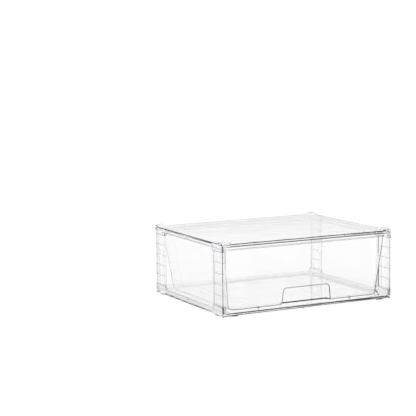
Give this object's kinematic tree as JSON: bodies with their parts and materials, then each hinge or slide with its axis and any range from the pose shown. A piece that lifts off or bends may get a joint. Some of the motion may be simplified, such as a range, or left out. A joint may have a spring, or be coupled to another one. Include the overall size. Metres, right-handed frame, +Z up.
{
  "type": "shoe box",
  "caption": "Clear stackable shoe box: ribbed corner posts join flat top and base plates, thin side and back panels, and a tapered pull-out drawer with a finger notch.",
  "frame": {"origin": "centre of the footprint, on the surface that the feet stand on", "axes": "+X along the box's width to the right, +Y to the back, +Z up; the drawer opens towards -Y"},
  "size_m": [0.35, 0.278, 0.1328],
  "materials": {
    "plate_plastic": "clear moulded plastic, polished, cool tint at the edges",
    "post_plastic": "clear moulded plastic with ribs, faint lavender tint",
    "panel_plastic": "clear thin sheet plastic, polished",
    "drawer_plastic": "clear moulded plastic, polished"
  },
  "bodies": {
    "frame": {"top_panel": "plate_plastic", "base_panel": "plate_plastic", "post_front_left": "post_plastic", "post_front_right": "post_plastic", "post_rear_left": "post_plastic", "post_rear_right": "post_plastic", "left_panel": "panel_plastic", "right_panel": "panel_plastic", "back_panel": "panel_plastic"},
    "drawer": {"drawer": "drawer_plastic"}
  },
  "joints": [
    {"name": "drawer_slide", "type": "slide", "parent": "frame", "child": "drawer", "axis": [0, -1, 0], "range_m": [0, 0.22]}
  ]
}
